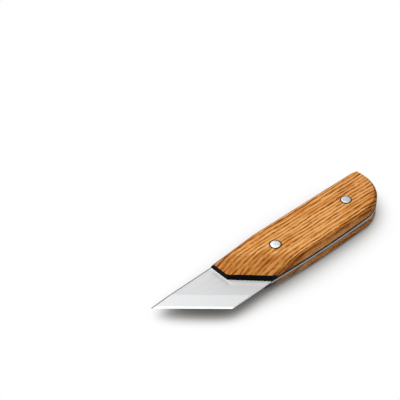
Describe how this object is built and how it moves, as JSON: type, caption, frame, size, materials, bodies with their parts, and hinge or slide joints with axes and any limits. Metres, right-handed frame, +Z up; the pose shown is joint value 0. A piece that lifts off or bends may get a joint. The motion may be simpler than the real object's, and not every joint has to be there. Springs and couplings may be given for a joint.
{
  "type": "skew carving knife",
  "caption": "Skew carving knife with a slanted edge ground on both sides of a full-tang steel blade, held between shaped wooden handle scales by cutler's rivets.",
  "frame": {"origin": "centre of the knife's box, on the surface that the lower scale lies on", "axes": "+X from the tip towards the butt, +Y towards the spine, +Z up, square to the blade's faces"},
  "size_m": [0.1584, 0.0322, 0.0153],
  "materials": {
    "blade_steel": "fine ground faces with a bright ground and honed bevel along the edge",
    "handle_wood": "oiled, open-pored, with the front end faces finished black",
    "rivet_aluminium": "sanded flat with the handle, satin"
  },
  "bodies": {
    "root": {"blade": "blade_steel", "upper_scale": "handle_wood", "lower_scale": "handle_wood", "front_rivet_pin": "rivet_aluminium", "front_rivet_sleeve": "rivet_aluminium", "rear_rivet_pin": "rivet_aluminium", "rear_rivet_sleeve": "rivet_aluminium"}
  },
  "joints": []
}
